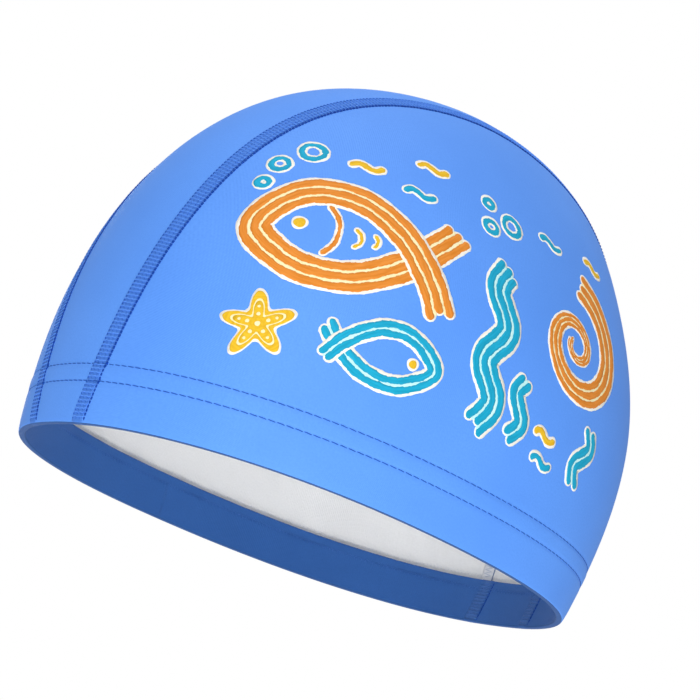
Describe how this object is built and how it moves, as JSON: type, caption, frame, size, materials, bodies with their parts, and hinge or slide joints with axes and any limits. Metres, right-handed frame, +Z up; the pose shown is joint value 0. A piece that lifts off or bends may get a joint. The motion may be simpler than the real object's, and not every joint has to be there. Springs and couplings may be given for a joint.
{
  "type": "swim cap",
  "caption": "Close-fitting stretch-knit swim cap with a centre strip, two side panels, flat seams and a turned-up hem, shaped as worn and open below for the head.",
  "frame": {"origin": "middle of the rim opening, where the cap sits on the head", "axes": "+Z up with the head upright, -Y towards the forehead, +Y towards the nape, +X towards the wearer's left, the printed side; the cap's own axis leans back 22 degrees towards +Y"},
  "size_m": [0.165, 0.205, 0.1767],
  "materials": {
    "cap_knit": "blue coated stretch knit, smooth, fine ribs, soft sheen",
    "knit_reverse": "white uncoated reverse of the knit, matt",
    "hem_knit": "darker blue face of the turned-up hem, matt",
    "seam_thread": "blue polyester cover-stitch thread, slightly glossy",
    "print_orange": "orange screen-print ink on the knit, matt",
    "print_teal": "teal screen-print ink on the knit, matt",
    "print_yellow": "yellow screen-print ink on the knit, matt",
    "print_cream": "cream screen-print ink under and between the colours, matt"
  },
  "bodies": {
    "root": {"centre_panel": "cap_knit", "left_panel": "cap_knit", "right_panel": "cap_knit", "left_seam": "seam_thread", "right_seam": "seam_thread", "turned_hem": "hem_knit"}
  },
  "joints": []
}
